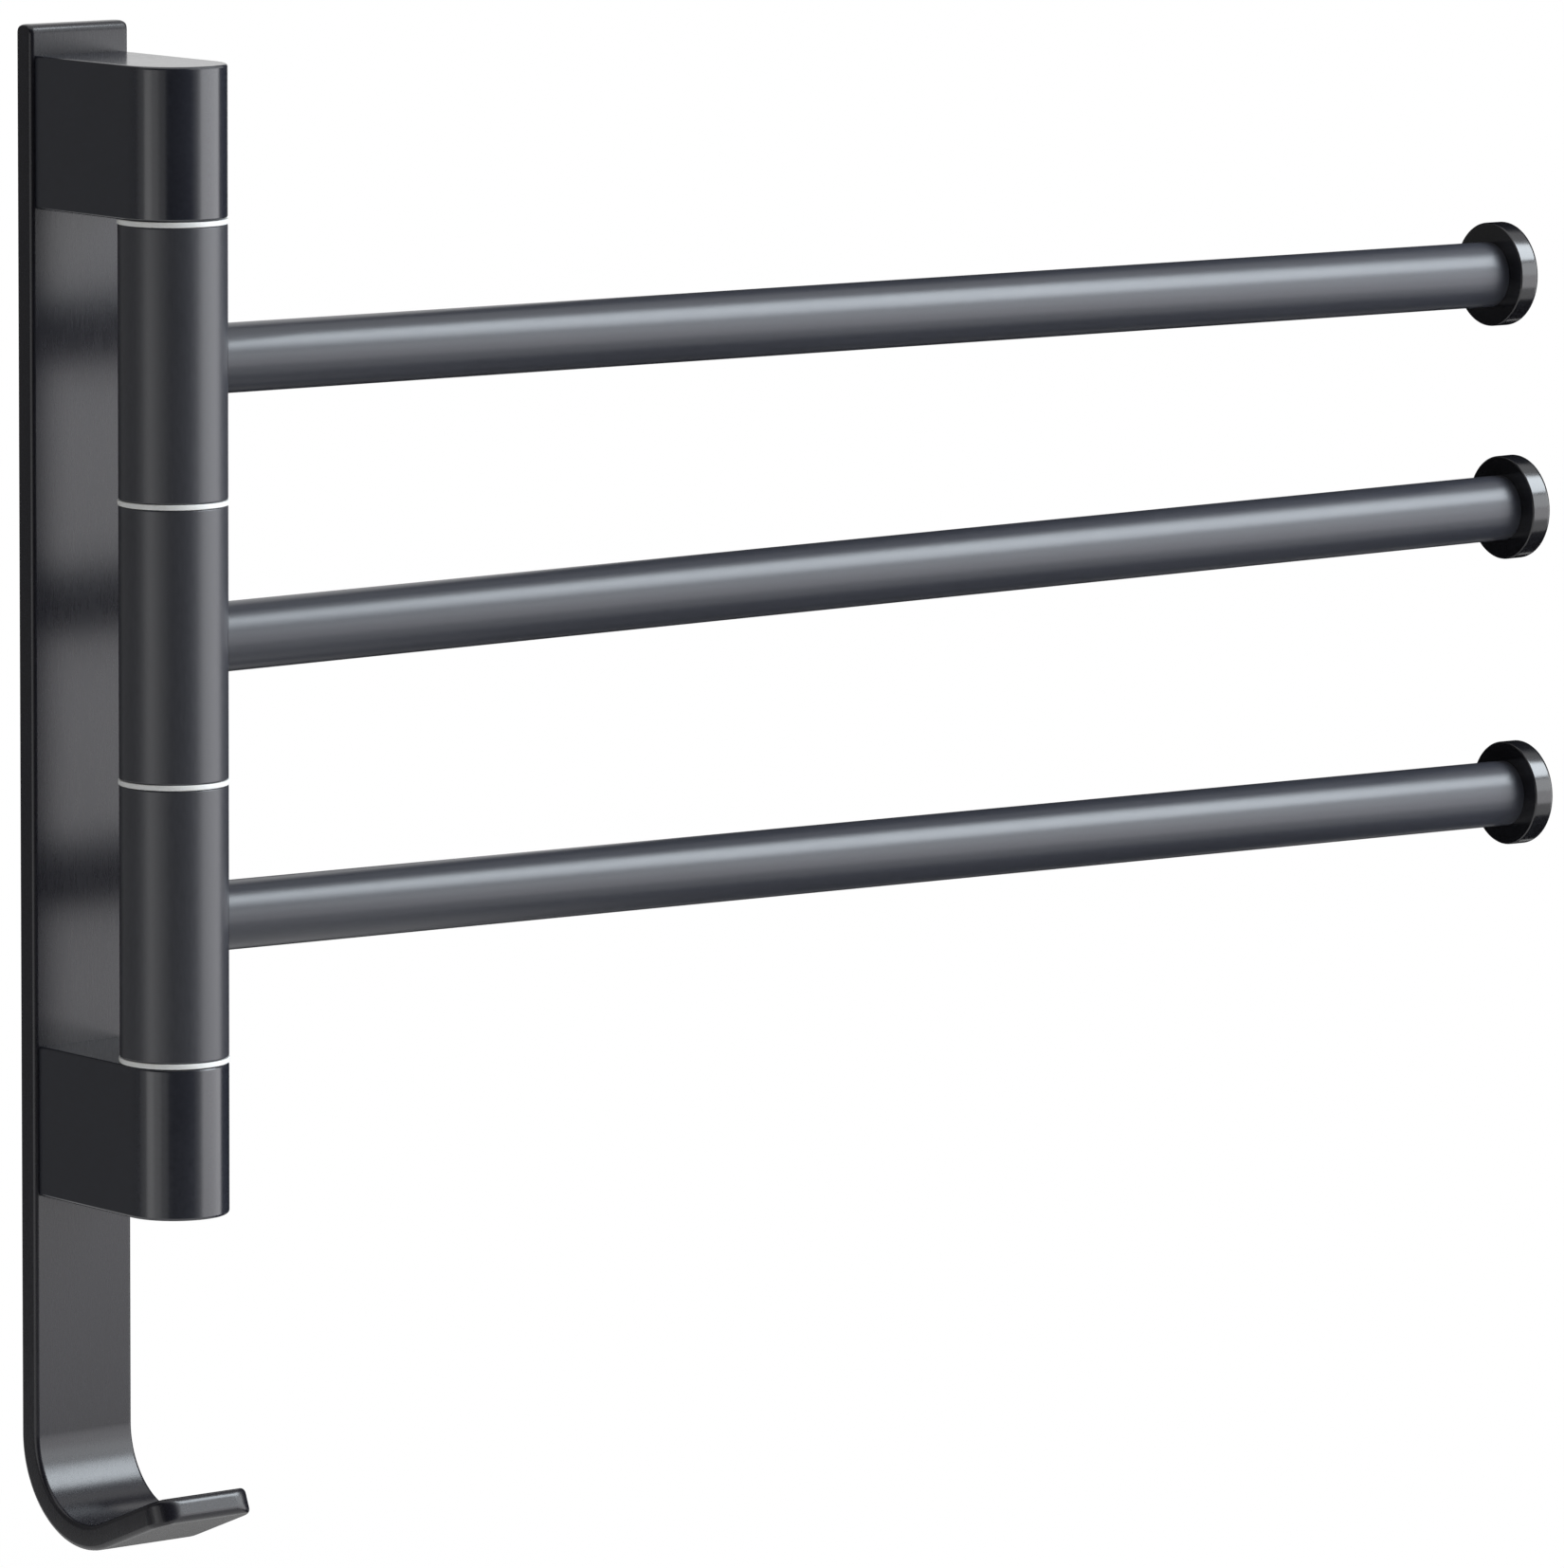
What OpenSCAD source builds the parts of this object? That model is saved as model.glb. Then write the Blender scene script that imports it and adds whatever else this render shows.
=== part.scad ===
// Wall mounted towel rail: three tube arms that swing one above the other on a vertical pivot rod,
// and a flat back plate whose lower end is bent up into a coat hook.
// X runs along the wall, Y points into the wall and Z points up. The wall is the plane y = 0.
// The origin lies on the wall, level with the middle arm and midway between the two wall screws.

/* [Back plate] */
// Width of the back plate, along the wall
plate_w = 27.5; // [25:0.5:34]
// Thickness of the back plate
plate_t = 6; // [5.5:0.25:8]
// Height of the plate above the upper bracket
plate_rise = 7; // [4:0.5:40]
// Rounding of the plate's long edges
plate_edge_r = 1.2; // [0.5:0.1:1.8]
// Rounding of the plate's ends, seen from the side
plate_end_r = 2; // [0.8:0.1:2.5]
// Rounding of the plate's top corners, seen from the front
plate_corner_r = 1; // [0.5:0.1:4]

/* [Coat hook] */
// Straight drop from the lower bracket to the start of the bend
hook_drop = 56; // [30:1:120]
// Inner radius of the bend
hook_bend_r = 18; // [12:0.5:30]
// Angle that the strip is bent through, in degrees
hook_bend_angle = 112; // [95:1:130]
// Length of the straight lip beyond the bend
hook_lip = 25; // [12:0.5:40]
// Rounding of the lip's corners
hook_corner_r = 6; // [3:0.5:10]

/* [Brackets] */
// Height of each bracket
bracket_h = 35; // [32:1:50]
// Distance from the plate's front face to the pivot axis
stand_off = 36; // [32:0.5:50]
// Rounding of the bracket's top and bottom edges
bracket_edge_r = 0.7; // [0.3:0.1:1.5]
// Diameter of the screws that hold a bracket to the plate
bracket_screw_d = 4; // [3:0.5:5]
// Length of those screws
bracket_screw_len = 14; // [12:1:20]
// Head diameter of those screws
bracket_screw_head_d = 7.6; // [7:0.2:9]
// Height of those screws' countersunk heads
bracket_screw_head_h = 2.2; // [1.8:0.1:2.6]
// Width across flats of those screws' hexagon sockets
bracket_screw_hex = 2.5; // [2:0.1:2.6]
// Room beyond the tips of those screws
bracket_screw_room = 3; // [1:0.5:4]
// Distance between the two screws of a bracket
bracket_screw_spacing = 18; // [14:1:20]

/* [Pivot] */
// Outer diameter of the sleeves, which the brackets' round fronts continue
sleeve_d = 25; // [22:0.5:26]
// Rounding of the sleeves' rims
sleeve_edge_r = 0.4; // [0.2:0.1:0.8]
// Height from one arm to the next
arm_pitch = 64; // [62:0.5:90]
// Diameter of the pivot rod
rod_d = 8; // [6:0.5:9]
// Depth of the rod's blind seat in the upper bracket
rod_seat = 24; // [15:1:28]
// Chamfer at the rod's ends
rod_chamfer = 0.6; // [0.3:0.1:1]
// Thickness of the washers between the sleeves
washer_t = 1.2; // [0.8:0.1:2]
// How far the washers stand proud of the sleeves all round
washer_proud = 0.2; // [0:0.05:0.4]
// Wall of the bushes that line a sleeve
bush_wall = 3; // [2:0.25:3.5]
// Length of each bush
bush_len = 14; // [8:1:18]
// How deep a bush sits below the sleeve's rim
bush_inset = 0.4; // [0.2:0.1:1]
// Diameter of the threaded plug that closes the rod's bore from below
rod_plug_d = 12; // [11:0.5:14]
// Length of that plug
rod_plug_len = 8; // [6:0.5:12]
// How deep the plug sits below the bracket's underside
rod_plug_inset = 1; // [0.5:0.1:2]
// Width across flats of the plug's hexagon socket
rod_plug_hex = 5; // [4:0.5:6]

/* [Arms] */
// Distance from the pivot axis to the inner face of the end cap
arm_reach = 387; // [200:1:450]
// Outer diameter of the arm tubes
tube_d = 16; // [14:0.5:19]
// Wall thickness of the arm tubes
tube_wall = 1.2; // [1:0.1:2]
// Angle between the top arm and the wall, in degrees
top_arm_angle = 2.6; // [0:0.1:8]
// Angle between the middle arm and the wall, in degrees
middle_arm_angle = 3.5; // [0:0.1:8]
// Angle between the bottom arm and the wall, in degrees
bottom_arm_angle = 3.9; // [0:0.1:8]
// Rise of the middle arm, which is set a little off level in its sleeve, in degrees
middle_tilt_angle = 1; // [0:0.1:1.5]
// Length of the plug inside the tube's root
root_plug_len = 18; // [12:1:30]
// Gap between the stud's tip and the sleeve's bore
root_stud_gap = 0.5; // [0.2:0.1:1]
// Diameter of the root plug's threaded stud
root_stud_d = 8; // [6:0.5:9]
// Outer diameter of the end caps
cap_d = 25.5; // [22:0.5:30]
// Thickness of the end caps' heads
cap_t = 5.75; // [4:0.25:8]
// Rounding of the heads' outer rims
cap_edge_r = 1.2; // [0.5:0.1:1.8]
// Rounding of the heads' inner rims
cap_inner_edge_r = 0.4; // [0.2:0.1:1.2]
// Length of the end caps' spigots
cap_spigot_len = 14; // [8:1:20]
// Wall of the hollow spigots
cap_spigot_wall = 2; // [1.5:0.25:3]

/* [Wall fixing] */
// Distance between the two wall screws
screw_spacing = 120; // [96:1:124]
// Hole for a wall screw
screw_hole_d = 4.5; // [3.5:0.5:5]
// Diameter of the countersink for the wall screw's head
screw_head_d = 8.4; // [7.5:0.1:9]
// Depth of that countersink
screw_head_h = 2; // [1.8:0.1:2.2]
// Height of a wall clip
clip_h = 24; // [16:1:26]
// Width of a wall clip at its front, where it is widest
clip_w = 16; // [14:0.5:17]
// Width of a wall clip at the wall
clip_root_w = 13; // [11:0.5:13.5]
// Thickness of a wall clip
clip_t = 3.2; // [2.8:0.1:3.4]
// Clearance between a clip and its slot in the plate
clip_gap = 0.2; // [0.1:0.05:0.3]
// Diameter of the grub screws that lock the plate on its clips
grub_d = 3; // [2.5:0.25:3]
// Metal left between a grub screw and the wall
grub_cover = 0.9; // [0.7:0.1:1.2]
// How deep a grub screw sits below the plate's edge
grub_inset = 0.5; // [0.2:0.1:1]
// Width across flats of the grub screw's hexagon socket
grub_hex = 1.5; // [1.2:0.1:1.6]

/* [Clearances] */
// Radial running clearance on the pivot rod
run_gap = 0.05; // [0.02:0.01:0.08]
// Play on each side of a washer, along the rod
axial_play = 0.05; // [0.02:0.01:0.1]
// Gap between pieces that are seated, screwed or glued together
seat_gap = 0.04; // [0.02:0.01:0.08]

/* [Hidden] */
$fn = 96;

// Overrun that lets a cut pass cleanly through a face
over = plate_t / 6;
// The hook's lip runs into its bend by a short lap, and is drawn a hair finer than the bend
lip_lap = plate_t / 12;
lip_draw = plate_t / 200;

// Places along Y: the plate's front face and the pivot axis
plate_front_y = -plate_t;
pivot_y = plate_front_y - stand_off;

// Places along Z, from the middle arm
TOP = 0;
MIDDLE = 1;
BOTTOM = 2;
function arm_z(i) = (MIDDLE - i) * arm_pitch;
sleeve_len = arm_pitch - washer_t - 2 * axial_play;
stack_half = arm_z(TOP) + arm_pitch / 2 + washer_t / 2 + axial_play;
bracket_mid_z = stack_half + bracket_h / 2;
plate_top_z = stack_half + bracket_h + plate_rise;
bend_z = -(stack_half + bracket_h + hook_drop);

// Radii round the pivot axis
sleeve_r = sleeve_d / 2;
bush_bore_r = rod_d / 2 + run_gap;
bush_r = bush_bore_r + bush_wall;
sleeve_bore_r = bush_r + seat_gap;

// Arms
arm_angles = [top_arm_angle, middle_arm_angle, bottom_arm_angle];
arm_tilt_angles = [0, middle_tilt_angle, 0];
tube_bore_r = tube_d / 2 - tube_wall;
insert_r = tube_bore_r - seat_gap;
root_stud_tip_x = sleeve_bore_r + root_stud_gap;

// Wall clips and their slots
slot_depth = clip_t + clip_gap;
grub_y = -(grub_cover + grub_d / 2);
grub_tip_x = clip_w / 2 + seat_gap;
grub_end_x = plate_w / 2 - grub_inset;

// Colours
plate_colour = "#3c3d41";
gloss_colour = "#202124";
arm_colour = "#4a4d54";
nylon_colour = "#e9e9e6";
steel_colour = "#9a9ca0";

// Rectangle with rounded corners, centred
module round_rect(w, h, r) {
    square([w - 2 * r, h], center = true);
    square([w, h - 2 * r], center = true);
    for (sx = [-1, 1], sy = [-1, 1]) {
        translate([sx * (w / 2 - r), sy * (h / 2 - r)]) {
            circle(r);
        }
    }
}

// Half section of a disc, for turning about its axis, with its low and its high rim rounded
module disc_section(disc_r, h, low_r, high_r) {
    translate([0, -h / 2]) {
        square([disc_r - low_r, h / 2]);
    }
    square([disc_r - high_r, h / 2]);
    translate([0, low_r - h / 2]) {
        square([disc_r, h - low_r - high_r]);
    }
    translate([disc_r - low_r, low_r - h / 2]) {
        circle(low_r);
    }
    translate([disc_r - high_r, h / 2 - high_r]) {
        circle(high_r);
    }
}

// Cylinder with both ends chamfered, standing on z = 0
module chamfered_rod(d, h, c) {
    cylinder(d1 = d - 2 * c, d2 = d, h = c);
    translate([0, 0, c]) {
        cylinder(d = d, h = h - 2 * c);
    }
    translate([0, 0, h - c]) {
        cylinder(d1 = d, d2 = d - 2 * c, h = c);
    }
}

// Hexagon prism of a given width across flats, standing on z = 0
module hexagon(flats, h) {
    cylinder(d = flats / cos(180 / 6), h = h, $fn = 6);
}

// Carries its children to the pivot axis at a given height
module at_pivot(z) {
    translate([0, pivot_y, z]) {
        children();
    }
}

// Carries its children to an arm: X runs along the arm from the pivot axis
module at_arm(i) {
    at_pivot(arm_z(i)) {
        rotate([0, -arm_tilt_angles[i], -arm_angles[i]]) {
            children();
        }
    }
}

// Turns a shape that stands along Z so that it lies along X
module along_x(x = 0) {
    translate([x, 0, 0]) {
        rotate([0, 90, 0]) {
            children();
        }
    }
}

// Turns a shape that stands along Z so that it lies along -Y, away from the wall
module out_of_wall() {
    rotate([90, 0, 0]) {
        children();
    }
}

// Turns a shape that stands along Z so that it lies along +Y, towards the wall
module into_wall() {
    rotate([-90, 0, 0]) {
        children();
    }
}

// Countersunk hole that runs along +Z from its head's face at z = 0
module countersunk_hole(d, head_d, head_h, len) {
    translate([0, 0, -over]) {
        cylinder(d = head_d, h = over);
    }
    cylinder(d1 = head_d, d2 = d, h = head_h);
    cylinder(d = d, h = len + over);
}

// Flat bar that stands on z = 0 and has a rounded free end
module strip(w, t, edge_r, len, corner_r) {
    body_h = 2 * len;
    intersection() {
        linear_extrude(len) {
            round_rect(w, t, edge_r);
        }
        translate([0, t, 0]) {
            out_of_wall() {
                linear_extrude(2 * t) {
                    round_rect(w, body_h, corner_r);
                }
            }
        }
        translate([-w, 0, 0]) {
            rotate([90, 0, 90]) {
                linear_extrude(2 * w) {
                    round_rect(t, body_h, plate_end_r);
                }
            }
        }
    }
}

// The bent part of the hook, turned about an axis along X that lies at the origin
module hook_bend() {
    rotate([-90, 0, 0]) {
        rotate([0, -90, 0]) {
            rotate_extrude(angle = hook_bend_angle) {
                translate([hook_bend_r + plate_t / 2, 0]) {
                    round_rect(plate_t, plate_w, plate_edge_r);
                }
            }
        }
    }
}

// The straight lip beyond the bend, about the same axis
module hook_lip_strip() {
    rotate([-hook_bend_angle, 0, 0]) {
        translate([0, hook_bend_r + plate_t / 2, lip_lap]) {
            mirror([0, 0, 1]) {
                strip(
                    plate_w - 2 * lip_draw,
                    plate_t - 2 * lip_draw,
                    plate_edge_r - lip_draw,
                    hook_lip + lip_lap,
                    hook_corner_r
                );
            }
        }
    }
}

// Slot that receives a wall clip from below: a wide mouth, and a dovetail above it
module clip_slot() {
    slot_top = clip_h / 2 + seat_gap;
    mouth_w = clip_w + 2 * clip_gap;
    translate([0, over, -clip_h / 2]) {
        linear_extrude(clip_h / 2 + slot_top) {
            polygon([
                [-clip_root_w / 2 - clip_gap, 0],
                [clip_root_w / 2 + clip_gap, 0],
                [clip_root_w / 2 + clip_gap, -over],
                [clip_w / 2 + clip_gap, -over - clip_t],
                [clip_w / 2 + clip_gap, -over - slot_depth],
                [-clip_w / 2 - clip_gap, -over - slot_depth],
                [-clip_w / 2 - clip_gap, -over - clip_t],
                [-clip_root_w / 2 - clip_gap, -over]
            ]);
        }
    }
    translate([-mouth_w / 2, -slot_depth, -1.5 * clip_h - clip_gap]) {
        cube([mouth_w, slot_depth + over, clip_h + clip_gap]);
    }
}

// Hole for a screw of a bracket, countersunk from the wall side
module bracket_screw_hole() {
    hole_d = bracket_screw_d + 2 * seat_gap;
    head_d = bracket_screw_head_d + 2 * seat_gap;
    out_of_wall() {
        countersunk_hole(hole_d, head_d, bracket_screw_head_h, plate_t);
    }
}

// Back plate: a flat bar rounded at the top and bent into a hook below
module back_plate() {
    color(plate_colour) {
        difference() {
            union() {
                translate([0, -plate_t / 2, bend_z]) {
                    strip(plate_w, plate_t, plate_edge_r, plate_top_z - bend_z, plate_corner_r);
                }
                translate([0, -plate_t - hook_bend_r, bend_z]) {
                    hook_bend();
                    hook_lip_strip();
                }
            }
            for (side = [-1, 1]) {
                translate([0, 0, side * screw_spacing / 2]) {
                    clip_slot();
                }
                translate([clip_root_w / 2, grub_y, side * screw_spacing / 2]) {
                    along_x() {
                        cylinder(d = grub_d + 2 * seat_gap, h = plate_w / 2);
                    }
                }
                for (end = [-1, 1]) {
                    z = side * bracket_mid_z + end * bracket_screw_spacing / 2;
                    translate([0, 0, z]) {
                        bracket_screw_hole();
                    }
                }
            }
        }
    }
}

// Block shared by both brackets: flat sides that run into a round front about the pivot axis
module bracket_block() {
    out_of_wall() {
        linear_extrude(stand_off - seat_gap) {
            round_rect(sleeve_d, bracket_h, bracket_edge_r);
        }
    }
    translate([0, -stand_off + seat_gap, 0]) {
        rotate_extrude() {
            disc_section(sleeve_r, bracket_h, bracket_edge_r, bracket_edge_r);
        }
    }
}

// Blind holes in the back of a bracket for its two screws
module bracket_screw_seats() {
    seat_len = bracket_screw_len - plate_t + bracket_screw_room;
    for (end = [-1, 1]) {
        translate([0, 0, end * bracket_screw_spacing / 2]) {
            translate([0, over, 0]) {
                out_of_wall() {
                    cylinder(d = bracket_screw_d + 2 * seat_gap, h = seat_len + over);
                }
            }
        }
    }
}

// Upper bracket, with a blind seat for the rod in its underside
module upper_bracket() {
    color(gloss_colour) {
        difference() {
            translate([0, plate_front_y - seat_gap, bracket_mid_z]) {
                bracket_block();
            }
            translate([0, plate_front_y - seat_gap, bracket_mid_z]) {
                bracket_screw_seats();
            }
            at_pivot(stack_half - over) {
                cylinder(d = rod_d + 2 * seat_gap, h = rod_seat + over);
            }
        }
    }
}

// Lower bracket, with a through bore for the rod and a wider bore below for its plug
module lower_bracket() {
    plug_bore_len = rod_plug_len + rod_plug_inset + seat_gap;
    color(gloss_colour) {
        difference() {
            translate([0, plate_front_y - seat_gap, -bracket_mid_z]) {
                bracket_block();
            }
            translate([0, plate_front_y - seat_gap, -bracket_mid_z]) {
                bracket_screw_seats();
            }
            at_pivot(-stack_half - bracket_h - over) {
                cylinder(d = rod_d + 2 * seat_gap, h = bracket_h + 2 * over);
                cylinder(d = rod_plug_d + 2 * seat_gap, h = plug_bore_len + over);
            }
        }
    }
}

// Four countersunk screws that hold the brackets from behind the plate
module bracket_screws() {
    color(steel_colour) {
        for (side = [-1, 1], end = [-1, 1]) {
            z = side * bracket_mid_z + end * bracket_screw_spacing / 2;
            translate([0, -seat_gap, z]) {
                out_of_wall() {
                    difference() {
                        union() {
                            cylinder(
                                d1 = bracket_screw_head_d,
                                d2 = bracket_screw_d,
                                h = bracket_screw_head_h
                            );
                            cylinder(d = bracket_screw_d, h = bracket_screw_len);
                        }
                        translate([0, 0, -over]) {
                            hexagon(bracket_screw_hex, bracket_screw_head_h + over);
                        }
                    }
                }
            }
        }
    }
}

// Steel rod that all three sleeves turn on
module pivot_rod() {
    foot_z = -stack_half - bracket_h + rod_plug_inset + rod_plug_len + seat_gap;
    head_z = stack_half + rod_seat - rod_chamfer;
    color(steel_colour) {
        at_pivot(foot_z) {
            chamfered_rod(rod_d, head_z - foot_z, rod_chamfer);
        }
    }
}

// Threaded plug under the rod, with a hexagon socket that faces down
module rod_plug() {
    color(steel_colour) {
        at_pivot(-stack_half - bracket_h + rod_plug_inset) {
            difference() {
                chamfered_rod(rod_plug_d, rod_plug_len, rod_chamfer);
                translate([0, 0, -over]) {
                    hexagon(rod_plug_hex, rod_plug_len / 2 + over);
                }
            }
        }
    }
}

// Nylon washer, counted from the top of the stack
module pivot_washer(number) {
    z = arm_z(number - 1) + arm_pitch / 2;
    color(nylon_colour) {
        at_pivot(z - washer_t / 2) {
            difference() {
                cylinder(r = sleeve_r + washer_proud, h = washer_t);
                translate([0, 0, -over]) {
                    cylinder(r = bush_bore_r, h = washer_t + 2 * over);
                }
            }
        }
    }
}

// Wall clip: a short dovetail bar screwed to the wall
module wall_clip(side) {
    color(steel_colour) {
        translate([0, 0, side * screw_spacing / 2]) {
            difference() {
                translate([0, 0, -clip_h / 2]) {
                    linear_extrude(clip_h) {
                        polygon([
                            [-clip_root_w / 2, 0],
                            [clip_root_w / 2, 0],
                            [clip_w / 2, -clip_t],
                            [-clip_w / 2, -clip_t]
                        ]);
                    }
                }
                translate([0, -clip_t, 0]) {
                    into_wall() {
                        countersunk_hole(screw_hole_d, screw_head_d, screw_head_h, clip_t);
                    }
                }
            }
        }
    }
}

// Two grub screws in the plate's right edge, which bear on the wall clips
module lock_grub_screws() {
    color(steel_colour) {
        for (side = [-1, 1]) {
            translate([0, grub_y, side * screw_spacing / 2]) {
                difference() {
                    along_x(grub_tip_x) {
                        cylinder(d = grub_d, h = grub_end_x - grub_tip_x);
                    }
                    along_x(grub_end_x - grub_d / 2) {
                        hexagon(grub_hex, grub_d);
                    }
                }
            }
        }
    }
}

// Sleeve of an arm: bored through for the bushes and drilled for the root plug's stud
module arm_sleeve(i) {
    color(arm_colour) {
        difference() {
            at_pivot(arm_z(i)) {
                rotate_extrude() {
                    disc_section(sleeve_r, sleeve_len, sleeve_edge_r, sleeve_edge_r);
                }
            }
            at_pivot(arm_z(i) - sleeve_len / 2 - over) {
                cylinder(r = sleeve_bore_r, h = sleeve_len + 2 * over);
            }
            at_arm(i) {
                along_x() {
                    cylinder(d = root_stud_d + 2 * seat_gap, h = sleeve_d);
                }
            }
        }
    }
}

// Nylon bush at the upper (end = 1) or lower (end = -1) mouth of a sleeve
module arm_bush(i, end) {
    rim_z = sleeve_len / 2 - bush_inset;
    z = end > 0 ? rim_z - bush_len : -rim_z;
    color(nylon_colour) {
        at_pivot(arm_z(i) + z) {
            difference() {
                cylinder(r = bush_r, h = bush_len);
                translate([0, 0, -over]) {
                    cylinder(r = bush_bore_r, h = bush_len + 2 * over);
                }
            }
        }
    }
}

// Cylinder that shapes an arm's root to the sleeve that it butts against
module sleeve_cutter(i) {
    at_pivot(arm_z(i) - tube_d) {
        cylinder(r = sleeve_r + seat_gap, h = 2 * tube_d);
    }
}

// Plug pressed into the tube's root, with a threaded stud that screws into the sleeve
module arm_root_plug(i) {
    color(steel_colour) {
        difference() {
            at_arm(i) {
                along_x() {
                    cylinder(r = insert_r, h = sleeve_r + root_plug_len);
                }
            }
            sleeve_cutter(i);
        }
        at_arm(i) {
            along_x(root_stud_tip_x) {
                cylinder(d = root_stud_d, h = sleeve_r + root_plug_len - root_stud_tip_x);
            }
        }
    }
}

// Arm tube, its root shaped to the round sleeve
module arm_tube(i) {
    color(arm_colour) {
        difference() {
            at_arm(i) {
                along_x() {
                    cylinder(d = tube_d, h = arm_reach - seat_gap);
                }
            }
            at_arm(i) {
                along_x(-over) {
                    cylinder(r = tube_bore_r, h = arm_reach + 2 * over);
                }
            }
            sleeve_cutter(i);
        }
    }
}

// End cap: a round head wider than the tube, on a hollow spigot
module arm_end_cap(i) {
    color(gloss_colour) {
        at_arm(i) {
            along_x(arm_reach + cap_t / 2) {
                rotate_extrude() {
                    disc_section(cap_d / 2, cap_t, cap_inner_edge_r, cap_edge_r);
                }
            }
            along_x(arm_reach - cap_spigot_len) {
                difference() {
                    cylinder(r = insert_r, h = cap_spigot_len + over);
                    translate([0, 0, -over]) {
                        cylinder(r = insert_r - cap_spigot_wall, h = cap_spigot_len + over);
                    }
                }
            }
        }
    }
}

back_plate();
upper_bracket();
lower_bracket();
bracket_screws();
pivot_rod();
rod_plug();
pivot_washer(1);  // pivot_washer_1
pivot_washer(2);  // pivot_washer_2
pivot_washer(3);  // pivot_washer_3
pivot_washer(4);  // pivot_washer_4
wall_clip(1);  // upper_wall_clip
wall_clip(-1);  // lower_wall_clip
lock_grub_screws();
arm_sleeve(TOP);  // top_arm_sleeve
arm_bush(TOP, 1);  // top_arm_upper_bush
arm_bush(TOP, -1);  // top_arm_lower_bush
arm_root_plug(TOP);  // top_arm_root_plug
arm_tube(TOP);  // top_arm_tube
arm_end_cap(TOP);  // top_arm_end_cap
arm_sleeve(MIDDLE);  // middle_arm_sleeve
arm_bush(MIDDLE, 1);  // middle_arm_upper_bush
arm_bush(MIDDLE, -1);  // middle_arm_lower_bush
arm_root_plug(MIDDLE);  // middle_arm_root_plug
arm_tube(MIDDLE);  // middle_arm_tube
arm_end_cap(MIDDLE);  // middle_arm_end_cap
arm_sleeve(BOTTOM);  // bottom_arm_sleeve
arm_bush(BOTTOM, 1);  // bottom_arm_upper_bush
arm_bush(BOTTOM, -1);  // bottom_arm_lower_bush
arm_root_plug(BOTTOM);  // bottom_arm_root_plug
arm_tube(BOTTOM);  // bottom_arm_tube
arm_end_cap(BOTTOM);  // bottom_arm_end_cap
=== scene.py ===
"""Looks of a wall mounted towel bar whose three arms swing one above the other on a pivot rod."""

import math

import bmesh
import bpy
from mathutils import Matrix, Vector


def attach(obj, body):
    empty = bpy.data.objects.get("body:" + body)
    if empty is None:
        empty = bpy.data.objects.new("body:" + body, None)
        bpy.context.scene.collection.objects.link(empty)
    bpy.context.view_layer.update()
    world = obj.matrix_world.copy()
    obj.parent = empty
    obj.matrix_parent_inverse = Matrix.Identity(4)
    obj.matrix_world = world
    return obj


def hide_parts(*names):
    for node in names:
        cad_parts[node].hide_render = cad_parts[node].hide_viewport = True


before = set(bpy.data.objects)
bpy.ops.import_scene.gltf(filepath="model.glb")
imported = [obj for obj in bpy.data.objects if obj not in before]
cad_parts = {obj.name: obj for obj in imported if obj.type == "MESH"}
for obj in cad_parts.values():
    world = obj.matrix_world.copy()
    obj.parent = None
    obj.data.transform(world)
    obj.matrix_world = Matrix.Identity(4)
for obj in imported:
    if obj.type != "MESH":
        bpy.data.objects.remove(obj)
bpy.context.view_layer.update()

# BACK PLATE
# A flat steel bar with rolled edges. It is sawn to length, its ends are rounded, its back is milled
# for the wall clips, its lower end is bent round a mandrel into a coat hook, and it is powder coated.

mm = 0.001
plate_w = 27.5 * mm
plate_t = 6 * mm
plate_edge_r = 1.2 * mm
plate_end_r = 2 * mm
plate_corner_r = 1 * mm
plate_top_z = 138.65 * mm
bend_start_z = -187.65 * mm
bend_inner_r = 18 * mm
bend_angle = math.radians(112)
lip_len = 25 * mm
lip_corner_r = 6 * mm
wall_screw_spacing = 120 * mm
clip_h = 24 * mm
slot_depth = 3.4 * mm
slot_root_half = 6.7 * mm
slot_half = 8.2 * mm
slot_slope_depth = 3.2 * mm
grub_hole_r = 1.54 * mm
grub_y = -2.4 * mm
stack_half = 96.65 * mm
bracket_h = 35 * mm
bracket_mid_z = stack_half + bracket_h / 2
bracket_screw_spacing = 18 * mm
bracket_screw_hole_r = 2.04 * mm
bracket_screw_sink_r = 3.84 * mm
bracket_screw_sink_h = 2.2 * mm


def sum_of(tree, operation, *values):
    """One Math node; each value is a socket or a number."""
    node = tree.nodes.new("ShaderNodeMath")
    node.operation = operation
    for socket, value in zip(node.inputs, values):
        if isinstance(value, (int, float)):
            socket.default_value = value
        else:
            tree.links.new(value, socket)
    return node.outputs["Value"]


def new_finish(name, stretch):
    """A new material, its tree, its surface and the coordinates that its patterns follow."""
    m = bpy.data.materials.new(name)
    m.use_nodes = True
    tree = m.node_tree
    place = tree.nodes.new("ShaderNodeTexCoord")
    turn = tree.nodes.new("ShaderNodeMapping")
    turn.inputs["Scale"].default_value = stretch
    tree.links.new(place.outputs["Object"], turn.inputs["Vector"])
    return m, tree, tree.nodes["Principled BSDF"], turn.outputs["Vector"]


def mottle(tree, where, scale, detail):
    """A noise pattern, as a value from nought to one."""
    noise = tree.nodes.new("ShaderNodeTexNoise")
    noise.inputs["Scale"].default_value = scale
    noise.inputs["Detail"].default_value = detail
    tree.links.new(where, noise.inputs["Vector"])
    return noise.outputs["Fac"]


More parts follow.
